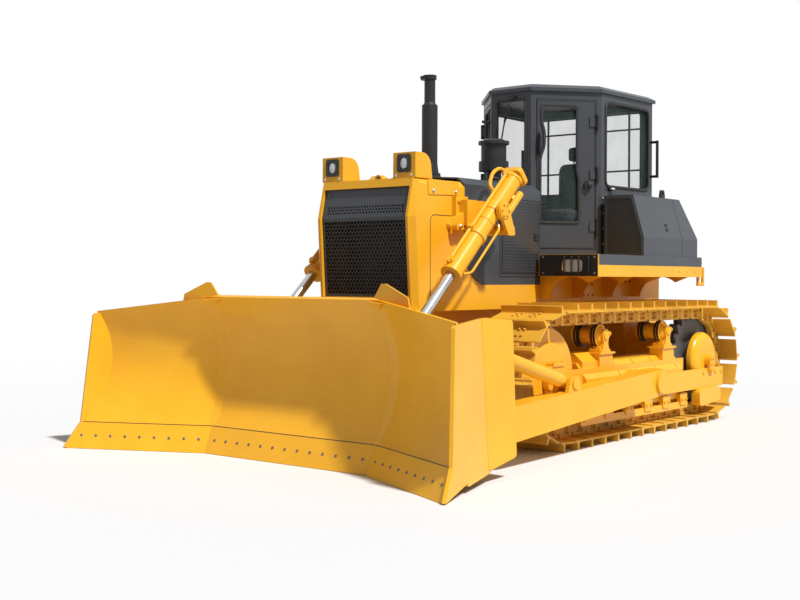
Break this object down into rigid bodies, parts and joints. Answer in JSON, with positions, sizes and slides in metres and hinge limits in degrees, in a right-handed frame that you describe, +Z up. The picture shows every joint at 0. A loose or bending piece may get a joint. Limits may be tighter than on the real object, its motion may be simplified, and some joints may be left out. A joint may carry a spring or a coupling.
{
  "type": "bulldozer",
  "caption": "Crawler bulldozer with a three-section blade on push arms and lift cylinders, an enclosed cab with hinged doors and two lugged tracks.",
  "frame": {"origin": "middle of the bounding box at ground level, under the lugs", "axes": "+X forward towards the blade, +Y to the machine's left, +Z up"},
  "size_m": [5.7514, 3.7234, 3.12],
  "materials": {
    "yellow_paint": "gloss",
    "cast_iron": "rough",
    "black_paint": "satin",
    "grey_paint": "satin",
    "lamp_lens": "clear",
    "glass": "clear",
    "seat_cloth": "woven",
    "bare_steel": "worn",
    "chrome": "polished"
  },
  "bodies": {
    "chassis": {"main_frame": "yellow_paint", "engine_block": "cast_iron", "radiator_guard": "yellow_paint", "grille": "black_paint", "hood": "grey_paint", "side_panels": "grey_paint", "lamp_boxes": "yellow_paint", "lamps": "lamp_lens", "exhaust_stack": "black_paint", "pre_cleaner": "black_paint", "cab_frame": "grey_paint", "cab_roof": "grey_paint", "cab_glass": "glass", "seat": "seat_cloth", "console": "black_paint", "fenders": "yellow_paint", "side_boxes": "grey_paint", "fuel_tank": "yellow_paint", "grab_rails": "black_paint", "track_frames": "yellow_paint", "track_left": "yellow_paint", "track_right": "yellow_paint", "sprockets": "bare_steel", "final_drives": "yellow_paint", "idlers": "bare_steel", "carrier_rollers": "yellow_paint", "track_rollers": "yellow_paint", "drawbar": "yellow_paint", "lift_yokes": "yellow_paint"},
    "lift_frame": {"trunnion_caps": "yellow_paint"},
    "blade": {"blade": "yellow_paint", "cutting_edge": "yellow_paint"},
    "arm_left": {"push_arm_left": "yellow_paint", "brace": "yellow_paint"},
    "arm_right": {"push_arm_right": "yellow_paint", "tilt_barrel": "yellow_paint"},
    "tilt_rod": {"tilt_rod": "chrome"},
    "lift_barrel_left": {"lift_barrel_left": "yellow_paint"},
    "lift_barrel_right": {"lift_barrel_right": "yellow_paint"},
    "lift_rod_left": {"lift_rod_left": "chrome"},
    "lift_rod_right": {"lift_rod_right": "chrome"},
    "door_left": {"door_left": "grey_paint", "door_glass_left": "glass"},
    "door_right": {"door_right": "grey_paint", "door_glass_right": "glass"}
  },
  "joints": [
    {"name": "blade_lift", "type": "hinge", "parent": "chassis", "child": "lift_frame", "pos_m": [-0.66819, 0, 0.47836], "axis": [0, -1, 0], "range_deg": [-9.4, 21.5]},
    {"name": "blade_tilt", "type": "hinge", "parent": "lift_frame", "child": "blade", "pos_m": [1.84181, 0, 0.33], "axis": [1, 0, 0], "range_deg": [-5.7, 5.7]},
    {"name": "arm_left_swing", "type": "hinge", "parent": "lift_frame", "child": "arm_left", "pos_m": [-0.66819, 0, 0.47836], "axis": [0, -1, 0], "range_deg": [-3.4, 3.4]},
    {"name": "arm_right_swing", "type": "hinge", "parent": "lift_frame", "child": "arm_right", "pos_m": [-0.66819, 0, 0.47836], "axis": [0, -1, 0], "range_deg": [-3.4, 3.4]},
    {"name": "tilt_rod_slide", "type": "slide", "parent": "arm_right", "child": "tilt_rod", "axis": [0.9664, 0, 0.2572], "range_m": [-0.0242, 0.0242]},
    {"name": "lift_barrel_left_swing", "type": "hinge", "parent": "chassis", "child": "lift_barrel_left", "pos_m": [0.68681, 0.705, 1.879], "axis": [0, -1, 0], "range_deg": [-11.48, 26]},
    {"name": "lift_rod_left_slide", "type": "slide", "parent": "lift_barrel_left", "child": "lift_rod_left", "axis": [0.7388, 0, -0.674], "range_m": [-0.7075, 0.3104]},
    {"name": "lift_barrel_right_swing", "type": "hinge", "parent": "chassis", "child": "lift_barrel_right", "pos_m": [0.68681, -0.705, 1.879], "axis": [0, -1, 0], "range_deg": [-11.48, 26]},
    {"name": "lift_rod_right_slide", "type": "slide", "parent": "lift_barrel_right", "child": "lift_rod_right", "axis": [0.7388, 0, -0.674], "range_m": [-0.7075, 0.3104]},
    {"name": "door_left_swing", "type": "hinge", "parent": "chassis", "child": "door_left", "pos_m": [-1.10391, 0.63339, 2.3], "axis": [0, 0, 1], "range_deg": [0, 100]},
    {"name": "door_right_swing", "type": "hinge", "parent": "chassis", "child": "door_right", "pos_m": [-1.10391, -0.63339, 2.3], "axis": [0, 0, -1], "range_deg": [0, 100]}
  ],
  "couplings": [
    {"joint": "arm_left_swing", "follows": "blade_tilt", "ratio": 0.5618},
    {"joint": "arm_right_swing", "follows": "blade_tilt", "ratio": -0.5618},
    {"joint": "tilt_rod_slide", "follows": "blade_tilt", "m_per_rad": -0.2235},
    {"joint": "lift_barrel_left_swing", "follows": "blade_lift", "ratio": 1.2},
    {"joint": "lift_rod_left_slide", "follows": "blade_lift", "m_per_rad": -1.88},
    {"joint": "lift_barrel_right_swing", "follows": "blade_lift", "ratio": 1.2},
    {"joint": "lift_rod_right_slide", "follows": "blade_lift", "m_per_rad": -1.88}
  ]
}
